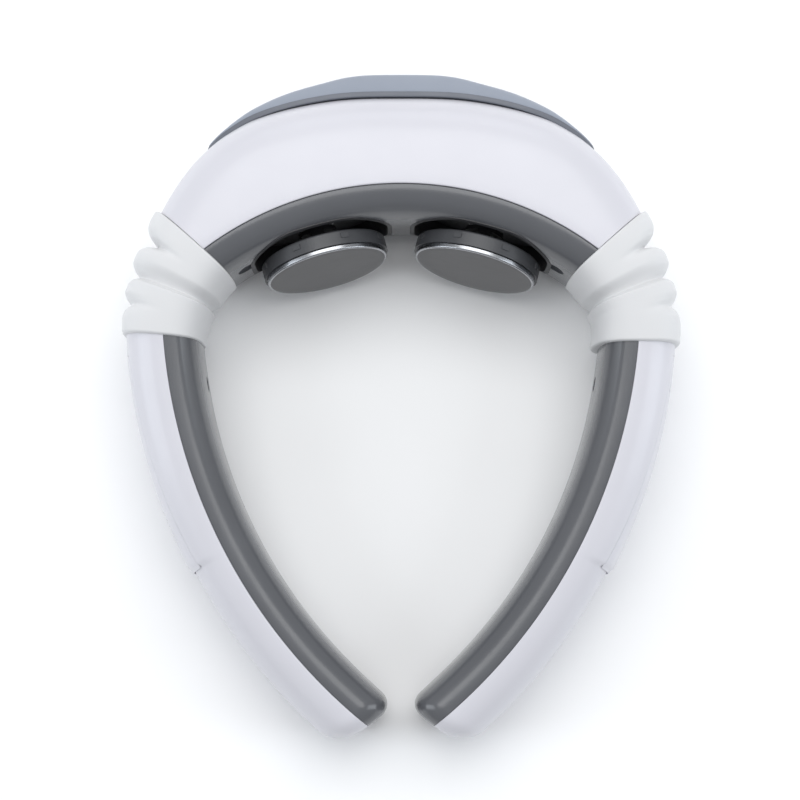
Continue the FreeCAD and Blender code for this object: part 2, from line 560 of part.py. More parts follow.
# right arm: buttons, board, switches
right_shell = arm_shell
button_panel = panel
BOARD_AT, BOARD_FACE, BOARD_T, BOARD_HALF = -18.4, 2.0, 1.2, 19.5
board_frame = radial(BOARD_AT, BUTTON_Z)
switches = []
for name, phi, r in BUTTONS:
    at = radial(phi, BUTTON_Z)
    lift = ARM_SEAM_R * math.cos(rad(phi - BOARD_AT)) - ARM_SEAM_R      # board top, seen from this button
    passage = put(rod(r + BUTTON_GAP, 5, 20), at)
    right_shell = right_shell.cut(passage)
    button_panel = button_panel.cut(passage)
    cap = turned([(0, 5.9), (r + 1.0, 5.9), (r + 1.0, 7.2), (r, 7.2), (r, BUTTON_TOP - 0.5),
                  (r - 0.5, BUTTON_TOP - 0.1), (0, BUTTON_TOP)])
    save(f"{name}_button", put(cap, at))
    local_x = ARM_SEAM_R * math.sin(rad(phi - BOARD_AT))
    body = block(local_x - 2.2, local_x + 2.2, -2.2, 2.2, BOARD_FACE, BOARD_FACE + 1.4)
    plunger_top = 5.9 - BUTTON_TRAVEL - 0.15 + lift
    switches.append(put(body.fuse(rod(1.1, BOARD_FACE + 1, plunger_top, local_x)), board_frame))
lens_at = radial(LENS_AT, LENS_Z)
button_panel = button_panel.cut(put(rod(LENS_R + FIT, 5, 20), lens_at))
right_shell = right_shell.cut(put(rod(LENS_R + FIT, 5, 20), lens_at))
save("indicator_lens", put(rod(LENS_R, ARM_OUT - WALL, ARM_OUT + ARM_STEP - 0.1), lens_at))
save("button_panel", button_panel)
save("right_arm_shell", right_shell)
board = put(block(-BOARD_HALF, BOARD_HALF, -11, 11, BOARD_FACE - BOARD_T, BOARD_FACE), board_frame)
save("control_board", board.common(arm_cavity))
save("tact_switches", Part.makeCompound(switches))
save("buzzer", put(tube(5.0, 0.8, BOARD_FACE - BOARD_T - 3.5, BOARD_FACE - BOARD_T, 0, 0), board_frame))
save("right_arm_lining", arm_lining)

# left arm: two cells side by side in height behind the sliding door
cell_frame = radial(CELL_AT, 0)
CELL_A = 1.0
RIB_FROM, RIB_TO, RIB_HALF, RIB_A = -12.9, -20.0, 0.7, 9.0
cells = []
contacts = []
for z in CELL_Z:
    cell = fuse(Part.makeCylinder(CELL_R, CELL_L, Vector(-CELL_L / 2, z, CELL_A), Vector(1, 0, 0)),
                Part.makeCylinder(1.9, 1.0, Vector(CELL_L / 2, z, CELL_A), Vector(1, 0, 0)))
    cells.append(mirrored(put(cell, cell_frame)))
    for x0, x1 in ((-CELL_L / 2 - 0.6, -CELL_L / 2), (CELL_L / 2 + 1.0, CELL_L / 2 + 1.6)):
        contacts.append(mirrored(put(block(x0, x1, z - 4, z + 4, CELL_A - 4, CELL_A + 4), cell_frame)))
save("battery_cells", Part.makeCompound(cells))
save("battery_contacts", Part.makeCompound(contacts))
tray_low, tray_high = CELL_Z[0] - CELL_R - 1.5, CELL_Z[1] + CELL_R + 1.5
tray = block(-CELL_L / 2 - 2, CELL_L / 2 + 3, tray_low, tray_high, -9.0, CELL_A + 2)
tray_floor = CELL_A - CELL_R - 0.1
tray = tray.cut(block(-CELL_L / 2 - 0.6, CELL_L / 2 + 1.6, tray_low + 1.2, tray_high - 1.2, tray_floor, 20))
for z in CELL_Z:
    tray = tray.cut(Part.makeCylinder(CELL_R + 0.1, CELL_L, Vector(-CELL_L / 2, z, CELL_A), Vector(1, 0, 0)))
left_tray = put(tray, cell_frame).common(arm_cavity).cut(put(rod(POST_R + 0.2, -20, 20), screw_frame))
save("battery_tray", mirrored(left_tray))
left_shell = arm_shell.cut(arm_wedge(WINDOW_FROM, WINDOW_TO, WINDOW_LOW, WINDOW_HIGH))
save("left_arm_shell", mirrored(left_shell))
save("left_arm_lining", mirrored(arm_lining))
# the door's curved rib runs above the gap between the cells and keeps them seated
door = panel.fuse(arm_ring(RIB_FROM, RIB_TO, BUTTON_Z - RIB_HALF, BUTTON_Z + RIB_HALF, RIB_A, ARM_OUT + 0.6))
save("battery_door", mirrored(door))
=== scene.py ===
"""Looks of the U-shaped neck massager: refined casings, bellows, heads and procedural finishes."""
import bpy
import bmesh
import json
import math
import numpy as np
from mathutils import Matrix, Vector

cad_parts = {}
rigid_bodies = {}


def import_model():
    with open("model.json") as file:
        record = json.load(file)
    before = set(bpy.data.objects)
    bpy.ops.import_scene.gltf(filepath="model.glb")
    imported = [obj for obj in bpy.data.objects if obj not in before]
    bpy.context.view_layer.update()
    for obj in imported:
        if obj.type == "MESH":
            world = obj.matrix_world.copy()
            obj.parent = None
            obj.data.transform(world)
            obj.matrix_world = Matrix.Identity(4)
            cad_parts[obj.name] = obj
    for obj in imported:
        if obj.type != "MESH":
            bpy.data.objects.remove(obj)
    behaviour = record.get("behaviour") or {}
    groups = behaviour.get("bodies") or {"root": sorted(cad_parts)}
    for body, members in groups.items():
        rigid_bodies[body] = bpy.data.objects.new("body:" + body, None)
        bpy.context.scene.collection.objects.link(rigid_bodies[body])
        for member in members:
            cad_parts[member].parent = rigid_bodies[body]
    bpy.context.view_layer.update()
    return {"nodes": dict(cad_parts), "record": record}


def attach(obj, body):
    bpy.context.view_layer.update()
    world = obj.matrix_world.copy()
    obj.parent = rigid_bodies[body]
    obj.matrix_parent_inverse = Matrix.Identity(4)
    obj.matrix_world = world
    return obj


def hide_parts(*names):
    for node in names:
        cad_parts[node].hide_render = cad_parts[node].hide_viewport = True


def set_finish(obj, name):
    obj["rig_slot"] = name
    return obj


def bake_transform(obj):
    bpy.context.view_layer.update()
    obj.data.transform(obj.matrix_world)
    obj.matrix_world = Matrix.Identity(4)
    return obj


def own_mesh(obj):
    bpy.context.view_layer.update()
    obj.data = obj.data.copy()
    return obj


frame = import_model()
MM = 0.001

# ---------------------------------------------------------------- measures (mm), as in the CAD part
LAYOUT_Y = 2.1
WALL = 2.0
SEAM_R, SEAM_Y, SEAM_TURN = 93.2, -34.5, 0.757
HOUSING_END = 48.0
HOUSING_OUT = ((0, 27.5), (12, 28.4), (24, 29.0), (30, 28.0), (36, 25.7), (42, 22.3), (48, 18.3))
HOUSING_IN = 9.6
HOUSING_TOP, HOUSING_END_TOP = 48.0, 45.0
FLOOR_TRIM = 0.7

FAN_X, FAN_Y = 26.0, 14.3
FAN_TOP, FAN_LOW = 42.0, 4.0
FAN_SEAM_TOP, FAN_SEAM_LOW = 39.3, 41.1

ARM_X, ARM_Y, ARM_R = -88.35, 28.4, 155.6
ARM_START, ARM_END, ARM_UNDER = -4.05, -51.15, -3.2
START_BLEND, START_SPAN, TIP_FROM = 10.9, 9.0, -43.0    # the sections turn near both ends of the arm
ARM_OUT, ARM_IN = 10.8, 9.8
ARM_TOP, ARM_TIP_TOP = 41.0, 32.0
TIP_R_OUT, TIP_R_IN, TIP_R_TOP, TIP_TURN = 7.5, 5.5, 5.5, 15.0
ARM_STEP_AT, ARM_STEP = -27.65, 1.35
STEP_ROUND = 0.45               # degrees of arc over which the step is rounded
PANEL_FROM, PANEL_LOW, PANEL_HIGH, PANEL_GAP = -6.0, 6.0, 33.0, 0.25
PANEL_LIFT, POCKET_LIFT = 0.5, 0.1

HOUSING_SQUARE, HOUSING_LINING_SQUARE = 0.84, 0.82      # how square each section is: 0.55 is an ellipse
ARM_SQUARE, ARM_LINING_SQUARE = 0.70, 0.80

HEAD = (21.2, 37.7, 24.0)
HEAD_TOE, HEAD_LEAN = 15.0, 9.0


def rad(a):
    return math.radians(a)


def hermite(table, x):
    """Smooth curve through a table of (position, value) that doesn't overshoot its points."""
    xs = np.array([p for p, _ in table], float)
    ys = np.array([v for _, v in table], float)
    d = np.diff(ys) / np.diff(xs)
    m = np.zeros_like(ys)
    m[0], m[-1] = d[0], d[-1]
    for i in range(1, len(xs) - 1):
        if d[i - 1] * d[i] > 0:
            w1 = 2 * (xs[i + 1] - xs[i]) + (xs[i] - xs[i - 1])
            w2 = (xs[i + 1] - xs[i]) + 2 * (xs[i] - xs[i - 1])
            m[i] = (w1 + w2) / (w1 / d[i - 1] + w2 / d[i])
    x = float(min(max(x, xs[0]), xs[-1]))
    i = int(min(np.searchsorted(xs, x, side="right") - 1, len(xs) - 2))
    h = xs[i + 1] - xs[i]
    t = (x - xs[i]) / h
    return float((1 + 2 * t) * (1 - t) ** 2 * ys[i] + t * (1 - t) ** 2 * h * m[i]
                 + t * t * (3 - 2 * t) * ys[i + 1] + t * t * (t - 1) * h * m[i + 1])


def ease(t):
    """Smooth step from 0 to 1."""
    t = min(max(t, 0.0), 1.0)
    return t * t * (3 - 2 * t)


# ---------------------------------------------------------------- mesh helpers


def make_object(name, verts, faces, sharp=35.0):
    """Mesh object from millimetre coordinates in layout axes."""
    mesh = bpy.data.meshes.new(name)
    moved = [(x * MM, (y + LAYOUT_Y) * MM, z * MM) for x, y, z in verts]
    mesh.from_pydata(moved, [], faces)
    bm = bmesh.new()
    bm.from_mesh(mesh)
    bmesh.ops.remove_doubles(bm, verts=bm.verts, dist=0.004 * MM)
    bmesh.ops.recalc_face_normals(bm, faces=bm.faces)
    bm.to_mesh(mesh)
    bm.free()
    mesh.shade_smooth()
    mesh.set_sharp_from_angle(angle=rad(sharp))
    obj = bpy.data.objects.new(name, mesh)
    bpy.context.scene.collection.objects.link(obj)
    return obj


def loops_to_mesh(name, loops, closed=True, cap_start=True, cap_end=True, sharp=35.0):
    """Skin a list of equal-length point loops."""
    count = len(loops[0])
    verts = [tuple(p) for loop in loops for p in loop]
    faces = []
    last = count if closed else count - 1
    for i in range(len(loops) - 1):
        for j in range(last):
            k = (j + 1) % count
            faces.append((i * count + j, i * count + k, (i + 1) * count + k, (i + 1) * count + j))
    if cap_start:
        faces.append(tuple(range(count)))
    if cap_end:
        base = (len(loops) - 1) * count
        faces.append(tuple(base + j for j in reversed(range(count))))
    return make_object(name, verts, faces, sharp)


def mirror_copy(obj, name):
    """The left-hand twin of a right-hand piece."""
    mesh = obj.data.copy()
    mesh.name = name
    co = np.empty(len(mesh.vertices) * 3)
    mesh.vertices.foreach_get("co", co)
    co[0::3] *= -1
    mesh.vertices.foreach_set("co", co)
    mesh.flip_normals()
    mesh.update()
    twin = bpy.data.objects.new(name, mesh)
    bpy.context.scene.collection.objects.link(twin)
    return twin


def lathe(name, outline, place, segments=128, sharp=35.0):
    """Solid of revolution. outline is (radius, depth) from the front centre round to the back centre."""
    turns = [2 * math.pi * k / segments for k in range(segments)]
    loops = [[place(r * math.cos(w), r * math.sin(w), s) for w in turns] for r, s in outline]
    return loops_to_mesh(name, loops, sharp=sharp)


def arc(cx, cz, r, a0, a1, n=8):
    turns = [rad(a0 + (a1 - a0) * i / n) for i in range(n + 1)]
    return [(cx + r * math.cos(w), cz + r * math.sin(w)) for w in turns]


def cut_with(obj, cutters):
    """Exact boolean difference, applied straight away."""
    for c in cutters:
        mod = obj.modifiers.new("cut", "BOOLEAN")
        mod.operation = "DIFFERENCE"
        mod.solver = "EXACT"
        mod.object = c
        bpy.context.view_layer.update()
        done = bpy.data.meshes.new_from_object(obj.evaluated_get(bpy.context.evaluated_depsgraph_get()))
        obj.modifiers.clear()
        obj.data = done
        bpy.data.objects.remove(c)
    obj.data.set_sharp_from_angle(angle=rad(35))


def frame_points(origin, x_axis, z_axis):
    """Function from local to layout coordinates."""
    z = Vector(z_axis).normalized()
    x = Vector(x_axis).normalized()
    y = z.cross(x)
    o = Vector(origin)

    def place(a, b, c):
        p = o + x * a + y * b + z * c
        return (p.x, p.y, p.z)
    return place


# ---------------------------------------------------------------- cross-sections


def bezier(p0, p1, p2, p3, t):
    """Point on a cubic curve."""
    u = 1 - t
    return tuple(u * u * u * a + 3 * u * u * t * b + 3 * u * t * t * c + t * t * t * d
                 for a, b, c, d in zip(p0, p1, p2, p3))


def quarter(a, mid, z, square, n, t0=0.0):
    """Points from the crest (0, z) to the widest point (a, mid)."""
    poles = ((0, z), (square * a, z), (a, mid + square * (z - mid)), (a, mid))
    return [bezier(*poles, t0 + (1 - t0) * i / n) for i in range(n + 1)]


def half_loop(out, top, bottom, square, wall, lip, gap, n=20):
    """Closed (a, z) outline of a casing half with a rounded lip along its seam, for a > 0."""
    mid = (top + bottom) / 2
    t0 = min(0.3, lip / max(3 * square * out, 0.1)) * 1.05
    upper = quarter(out, mid, top, square, n, t0)
    lower = list(reversed(quarter(out, mid, bottom, square, n, t0)))
    lip_top = [(max(gap, x), z) for x, z in arc(lip, top - lip, lip, 180, 90, 4)[:-1]]
    lip_low = [(max(gap, x), z) for x, z in arc(lip, bottom + lip, lip, 270, 180, 4)[1:]]
    in_out = max(out - wall, 0.02)
    in_top, in_low = top - wall, bottom + wall
    if in_top < in_low + 0.1:
        in_top = mid + 0.05
        in_low = mid - 0.05
    core_up = quarter(in_out, mid, in_top, square, n)
    core_low = list(reversed(quarter(in_out, mid, in_low, square, n)))
    inner = [(max(gap, x), z) for x, z in reversed(core_up[:-1] + core_low)]
    return lip_top + upper[:-1] + lower + lip_low + inner


def along_section(x, y, angle, loop, sign):
    """Lay an (a, z) outline across the seam at x, y. Nothing goes below the ground."""
    ax, ay = math.cos(rad(angle)), math.sin(rad(angle))
    return [(x + sign * ax * a, y + sign * ay * a, max(z, 0.0)) for a, z in loop]


def housing_place(plane):
    """Seam point and the direction of the section at a plane of the housing, in degrees from the middle."""
    seam = rad(SEAM_TURN * plane)
    return SEAM_R * math.sin(seam), SEAM_Y + SEAM_R * math.cos(seam), 90 - plane


def housing_top(plane):
    return HOUSING_TOP + (HOUSING_END_TOP - HOUSING_TOP) * (plane / HOUSING_END) ** 2


def housing_out(plane):
    return hermite(((-12, 28.4),) + HOUSING_OUT, abs(plane))


def housing_half(name, outward):
    """The outer casing or the neck-side lining of the housing."""
    loops = []
    steps = 144
    for i in range(steps + 1):
        p = -HOUSING_END + 2 * HOUSING_END * i / steps
        x, y, angle = housing_place(p)
        top = housing_top(p)
        if outward:
            loop = half_loop(housing_out(p), top, -FLOOR_TRIM, HOUSING_SQUARE, WALL, 0.45, 0.06)
            loops.append(along_section(x, y, angle, loop, 1))
        else:
            loop = half_loop(HOUSING_IN, top - 0.3, -FLOOR_TRIM, HOUSING_LINING_SQUARE, WALL, 0.4, 0.06)
            loops.append(along_section(x, y, angle, loop, -1))
    return loops_to_mesh(name, loops)


def arm_place(phi):
    """Seam point and section direction at an angle on the arm's arc."""
    start = max(0.0, 1 - (ARM_START - phi) / START_SPAN) ** 2
    tip = max(0.0, (TIP_FROM - phi) / (TIP_FROM - ARM_END))
    return (ARM_X + ARM_R * math.cos(rad(phi)), ARM_Y + ARM_R * math.sin(rad(phi)),
            phi + START_BLEND * min(start, 1.0) + TIP_TURN * tip)


def tip_round(radius, d):
    """How far a rounding of this radius has drawn in, d from the arm's end."""
    return radius - math.sqrt(max(0.0, radius ** 2 - (radius - min(max(d, 0.0), radius)) ** 2))


def arm_size(phi):
    """Distance from the arm's end, and the height of its top, at an angle."""
    d = rad(phi - ARM_END) * ARM_R
    share = (ARM_START - phi) / (ARM_START - ARM_END)
    top = ARM_TOP + (ARM_TIP_TOP - ARM_TOP) * share
    return d, top


def arm_planes():
    tip = math.degrees(TIP_R_OUT / ARM_R)
    straight = [ARM_UNDER + (ARM_END + tip - ARM_UNDER) * i / 110 for i in range(111)]
    straight += [ARM_STEP_AT + STEP_ROUND * (i / 7 - 1) for i in range(15)]
    straight = sorted(set(straight), reverse=True)
    closing = [ARM_END + tip * (1 - math.sin(rad(a))) for a in range(6, 91, 6)]
    return straight + closing


def arm_thick(phi):
    """1 above the step in the casing, 0 below it, rounded over in between."""
    return ease((phi - ARM_STEP_AT + STEP_ROUND) / (2 * STEP_ROUND))


def arm_half(name, outward):
    """The outer casing or the neck-side lining of the right arm."""
    loops = []
    for phi in arm_planes():
        x, y, angle = arm_place(phi)
        d, top = arm_size(phi)
        sink = tip_round(TIP_R_TOP, d)
        low = -FLOOR_TRIM + sink * 0.5
        wall = WALL if d > 3.0 else WALL + (3.0 - d) * 8
        if outward:
            thick = arm_thick(phi)
            out = max(ARM_OUT + ARM_STEP * thick - tip_round(TIP_R_OUT, d), 0.5)
            loop = half_loop(out, top - sink, low, ARM_SQUARE, wall + ARM_STEP * thick, 0.2, 0.04)
            loops.append(along_section(x, y, angle, loop, 1))
        else:
            out = max(ARM_IN - tip_round(TIP_R_IN, d), 0.5)
            loop = half_loop(out, top - sink - 0.12, low, ARM_LINING_SQUARE, wall, 0.2, 0.04)
            loops.append(along_section(x, y, angle, loop, -1))
    return loops_to_mesh(name, loops)


# ---------------------------------------------------------------- housing

rear_shell = housing_half("rear_shell_skin", True)
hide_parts("rear_shell")
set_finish(rear_shell, "casing_white")
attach(rear_shell, "housing")

HEAD_BACK = Vector((math.sin(rad(HEAD_TOE)) * math.cos(rad(HEAD_LEAN)),
                    math.cos(rad(HEAD_TOE)) * math.cos(rad(HEAD_LEAN)), -math.sin(rad(HEAD_LEAN))))
HEAD_SIDE = Vector((math.cos(rad(HEAD_TOE)), -math.sin(rad(HEAD_TOE)), 0))
head_right = frame_points(HEAD, HEAD_SIDE, HEAD_BACK)


def head_left(a, b, c):
    x, y, z = head_right(a, b, c)
    return (-x, y, z)


OPENING_X, OPENING_Z, OPENING_CORNER, WELL_RIM = 19.7, 19.4, 13.0, 1.2


def pillow_block(name, grow, s0, s1, place):
    """Prism with the rounded-square outline of a head opening."""
    hx, hz, r = OPENING_X + grow, OPENING_Z + grow, OPENING_CORNER + grow
    outline = []
    for cx, cz, start in ((1, 1, 0), (-1, 1, 90), (-1, -1, 180), (1, -1, 270)):
        outline += arc(cx * (hx - r), cz * (hz - r), r, start, start + 90, 16)
    return loops_to_mesh(name, [[place(a, b, s) for a, b in outline] for s in (s0, s1)])


inner_shell = housing_half("inner_shell_skin", False)
cutters = []
for place, tag in ((head_right, "r"), (head_left, "l")):
    cutters.append(pillow_block("well_cutter_" + tag, WELL_RIM + 0.05, -14, 18, place))
RECESS_AT, RECESS_Z, RECESS_R = 43.0, 30.0, 3.2
for side in (-1, 1):
    rx, ry, _ = housing_place(RECESS_AT)
    inward = Vector((-math.sin(rad(RECESS_AT)), -math.cos(rad(RECESS_AT)), 0))
    dish = frame_points((rx, ry, RECESS_Z), (0, 0, 1), inward)

    def dish_place(a, b, c, side=side, dish=dish):
        x, y, z = dish(a, b, c)
        return (side * x, y, z)
    outline = [(0.01, HOUSING_IN + 5), (RECESS_R, HOUSING_IN + 5), (RECESS_R, HOUSING_IN - 0.7),
               (RECESS_R - 0.6, HOUSING_IN - 1.2), (0.01, HOUSING_IN - 1.2)]
    cutters.append(lathe("recess_cutter", outline, dish_place, 48))
cut_with(inner_shell, cutters)
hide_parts("inner_shell")
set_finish(inner_shell, "lining_grey")
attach(inner_shell, "housing")


def rounded(points, radius, n=5):
    """Closed outline with every corner turned into a small curve."""
    out = []
    count = len(points)
    for i, p in enumerate(points):
        p = Vector(p)
        before = Vector(points[i - 1]) - p
        after = Vector(points[(i + 1) % count]) - p
        cut = min(radius, 0.45 * before.length, 0.45 * after.length)
        a = p + before.normalized() * cut
        b = p + after.normalized() * cut
        for k in range(n + 1):
            t = k / n
            q = a * (1 - t) ** 2 + p * 2 * t * (1 - t) + b * t * t
            out.append((q.x, q.y))
    return out


TRIM_END = 34.0
TRIM_PROUD = ((0, 6.8), (5, 6.75), (8, 6.4), (12.7, 5.1), (18, 4.1), (22.2, 3.1), (27.2, 1.8), (32, 0.8),
              (34, 0.45))
TRIM_LIP, TRIM_LOW, TRIM_HIGH, TRIM_BEVEL = 0.5, 9.0, 38.0, 6.0


def trim_band(name, flange):
    """The bevelled trim, or the thin flange between it and the casing, which gets a dark finish as painted
    shade for the gap there.
    """
    loops = []
    steps = 132
    for i in range(steps + 1):
        p = -TRIM_END + 2 * TRIM_END * i / steps
        x, y, angle = housing_place(p)
        share = abs(p) / TRIM_END
        close = math.sqrt(max(0.0, 1 - max(0.0, (abs(p) - TRIM_END + 1.6) / 1.6) ** 2))
        proud = hermite(((-5, 6.75),) + TRIM_PROUD, abs(p)) * (0.4 + 0.6 * close)
        narrow = 7.0 * share ** 3 + 1.5 * (1 - close)
        lip = min(TRIM_LIP, 0.45 * proud)
        base = housing_out(p)
        low, high = TRIM_LOW + narrow, TRIM_HIGH - narrow
        bevel = TRIM_BEVEL * proud / TRIM_PROUD[0][1]
        if flange:
            outline = [(base - 1.1, low - 0.5), (base + lip, low - 0.5),
                       (base + lip, high + 0.5), (base - 1.1, high + 0.5)]
            outline = rounded(outline, 0.35)
        else:
            face = max(base + proud, base + lip + 0.1)
            shoulder = min(base + lip + 0.2, face - 0.05)
            outline = [(base + lip - 0.6, low + 0.5), (shoulder, low + 0.5), (face, low + bevel),
                       (face, high - bevel), (shoulder, high - 0.5), (base + lip - 0.6, high - 0.5)]
            outline = rounded(outline, 1.3)
        ax, ay = math.cos(rad(angle)), math.sin(rad(angle))
        loops.append([(x + ax * a, y + ay * a, z) for a, z in outline])
    return loops_to_mesh(name, loops)


trim = trim_band("rear_trim_skin", False)
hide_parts("rear_trim_panel")
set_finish(trim, "trim_blue_grey")
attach(trim, "housing")
flange = trim_band("rear_trim_flange", True)
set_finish(flange, "trim_blue_grey")
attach(flange, "housing")

# ---------------------------------------------------------------- bellows

BELLOWS_OUT = ((0.0, 12.7), (3.0, 12.8), (4.8, 13.1), (9.2, 13.6), (11.0, 13.2), (13.0, 11.9),
               (14.8, 13.6), (17.0, 14.9), (19.2, 14.9), (20.8, 14.2), (22.3, 12.5), (24.0, 14.8),
               (26.0, 16.4), (29.0, 16.7), (31.2, 15.4), (33.2, 12.2), (35.2, 16.8), (37.0, 18.6),
               (41.9, 20.1))
BELLOWS_UP_TO = 41.85
BELLOWS_IN, BELLOWS_WALL, BELLOWS_LIFT = 10.5, 1.6, 0.3
BELLOWS_TOP_HOUSING, BELLOWS_TOP_ARM = 45.8, 42.2
GROOVE_AT, GROOVE_UPPER, GROOVE_LOWER, GROOVE_DEPTH = 22.3, 6.0, 1.9, 2.4
SKEW_END = 16.0
# the soft sleeves sit a little differently: lower end (degrees), its turn, and its inner side's extra depth
BELLOWS_SIT = {"left": (2.9, 2.7, 0.0), "right": (1.5, -1.4, 1.8)}
END_ROUND = 1.0
BLEND_R, BLEND_FROM, BLEND_TO, BLEND_Z = 42.5, 39.5, 6.5, 0.021    # where the sleeve's bend would start and end; fan_point makes points from these, which nothing uses


def bellows_loop(angle, inset, start, turn, deep):
    """Closed outline of a sleeve at an angle of its fan, drawn in by the inset."""
    share = (angle - FAN_LOW) / (FAN_TOP - FAN_LOW)
    seam_r = FAN_SEAM_LOW + (FAN_SEAM_TOP - FAN_SEAM_LOW) * share
    x = FAN_X + seam_r * math.cos(rad(angle))
    y = FAN_Y + seam_r * math.sin(rad(angle))
    near = min(angle - start, BELLOWS_UP_TO - angle)
    low_end = min(1.0, max(0.0, 1 - (angle - FAN_LOW) / (SKEW_END - FAN_LOW)))
    end = 0.0
    if near < END_ROUND:
        end = 1.0 * (1 - math.sqrt(max(0.0, 1 - (1 - near / END_ROUND) ** 2)))
    reach = GROOVE_UPPER if angle > GROOVE_AT else GROOVE_LOWER
    pinch = GROOVE_DEPTH * (1 - ease(abs(angle - GROOVE_AT) / reach))
    skew = turn * low_end
    shift = BELLOWS_IN * math.sin(rad(skew))
    x -= shift * math.sin(rad(angle))
    y += shift * math.cos(rad(angle))
    top = BELLOWS_TOP_ARM + (BELLOWS_TOP_HOUSING - BELLOWS_TOP_ARM) * share - pinch - end - inset
    low = BELLOWS_LIFT + 0.5 * pinch + 0.3 * end + inset
    out = hermite(BELLOWS_OUT, angle) - end - inset
    inn = BELLOWS_IN + deep * low_end - 0.7 * pinch - end - inset
    mid = (top + low) / 2
    n = 22
    pts = [(a, z) for a, z in quarter(out, mid, top, 0.80, n)[:-1]]
    pts += [(a, z) for a, z in reversed(quarter(out, mid, low, 0.80, n))][:-1]
    pts += [(-a, z) for a, z in quarter(inn, mid, low, 0.78, n)[:-1]]
    pts += [(-a, z) for a, z in reversed(quarter(inn, mid, top, 0.78, n))][:-1]
    ax, ay = math.cos(rad(angle + skew)), math.sin(rad(angle + skew))
    return [(x + ax * a, y + ay * a, z) for a, z in pts]


def bellows_skin(side):
    start, turn, deep = BELLOWS_SIT[side]
    angles = [start + (BELLOWS_UP_TO - start) * i / 168 for i in range(169)]
    loops = [bellows_loop(a, 0.0, start, turn, deep) for a in angles]
    loops += [bellows_loop(a, BELLOWS_WALL, start, turn, deep) for a in reversed(angles)]
    loops.append(loops[0])
    return loops_to_mesh(side + "_bellows_skin", loops, cap_start=False, cap_end=False, sharp=50)


right_bellows = bellows_skin("right")
left_blank = bellows_skin("left")
left_bellows = mirror_copy(left_blank, "left_bellows_mirrored")
bpy.data.objects.remove(left_blank)
left_bellows.name = "left_bellows_skin"


def fan_point(angle, side):
    x = FAN_X + BLEND_R * math.cos(rad(angle))
    y = FAN_Y + BLEND_R * math.sin(rad(angle)) + LAYOUT_Y
    return (side * x * MM, y * MM, BLEND_Z)


for obj, side, tag in ((right_bellows, 1, "right"), (left_bellows, -1, "left")):
    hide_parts(tag + "_bellows")
    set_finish(obj, "bellows_rubber")
    fan_point(BLEND_FROM, side)
    fan_point(BLEND_TO, side)
    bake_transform(obj)

# ---------------------------------------------------------------- arms


def radial_frame(phi, z):
    out = Vector((math.cos(rad(phi)), math.sin(rad(phi)), 0))
    origin = (ARM_X + ARM_R * out.x, ARM_Y + ARM_R * out.y, z)
    return frame_points(origin, (-out.y, out.x, 0), out)


def plug(name, place, r, s0, s1, segments=64):
    return lathe(name, [(0.01, s0), (r, s0), (r, s1), (0.01, s1)], place, segments)


BUTTONS = (("mode", -13.4, 4.6), ("plus", -18.6, 3.9), ("minus", -23.2, 3.9))
BUTTON_Z, BUTTON_GAP, BUTTON_TOP = 19.5, 0.25, ARM_OUT + ARM_STEP - 0.05
CUT_FROM, CUT_TO = 5.0, 20.0        # the holes are cut between these distances from the seam
LENS_AT, LENS_Z, LENS_R = -8.8, 29.0, 1.3
SCREW_AT, SCREW_Z, SCREW_HOLE, SCREW_SEAT = -9.4, 22.0, 2.2, -4.5


def arm_surface(phi, z, extra=0.0):
    """How far the casing's outer face stands from the seam, for a casing thicker by `extra`."""
    d, top = arm_size(phi)
    mid = (top - FLOOR_TRIM) / 2
    pts = quarter(ARM_OUT + extra, mid, top if z > mid else -FLOOR_TRIM, ARM_SQUARE, 60)
    pts.sort(key=lambda p: p[1])
    return float(np.interp(z, [p[1] for p in pts], [p[0] for p in pts]))


LIP_UNDER, LIP_OVER = 0.42, 0.6     # the thin lip at the panel's lower end
PANEL_CORNER, PANEL_MIDDLE = 4.0, 12.6      # corner radius, and how far in the last open loop lies
POCKET_MIDDLE, POCKET_PAST = 12.9, 4.0      # the same for the pocket, which runs out through the step


def panel_loop(grow, extra, past=0.0):
    """Outline of the flush panel, `grow` larger all round and `past` longer beyond the step."""
    end_low = rad(ARM_STEP_AT - 0.8 * STEP_ROUND) * ARM_R - past
    end_high = rad(PANEL_FROM) * ARM_R + grow
    low, high = PANEL_LOW - grow, PANEL_HIGH + grow
    wide = PANEL_CORNER + grow
    if not past:
        end_low -= grow
    shut = high - low < 0.01        # the last loop closes to a line along the panel's middle
    wide = 0.0 if shut else max(min(wide, (high - low) / 2 - 0.02, (end_high - end_low) / 2 - 0.02), 0.02)
    tight = min(0.4, wide)
    pts = []

    def side(u0, z0, u1, z1, n):
        return [(u0 + (u1 - u0) * i / n, z0 + (z1 - z0) * i / n) for i in range(n)]
    pts += side(end_high, low + wide, end_high, high - wide, 20)
    pts += arc(end_high - wide, high - wide, wide, 0, 90, 10)[:-1]
    pts += side(end_high - wide, high, end_low + tight, high, 60)
    pts += arc(end_low + tight, high - tight, tight, 90, 180, 5)[:-1]
    pts += side(end_low, high - tight, end_low, low + tight, 24)
    pts += arc(end_low + tight, low + tight, tight, 180, 270, 5)[:-1]
    pts += side(end_low + tight, low, end_high - wide, low, 60)
    pts += arc(end_high - wide, low + wide, wide, 270, 360, 10)[:-1]
    loop = []
    for u, z in pts:
        phi = math.degrees(u / ARM_R)
        x, y, angle = arm_place(phi)
        thickness = extra
        if not past:
            lip = LIP_UNDER if extra <= PANEL_LIFT else LIP_OVER
            thickness = min(extra, max(ARM_STEP * arm_thick(phi), lip))
        a = arm_surface(phi, z, thickness)
        loop.append((x + math.cos(rad(angle)) * a, y + math.sin(rad(angle)) * a, z))
    return loop


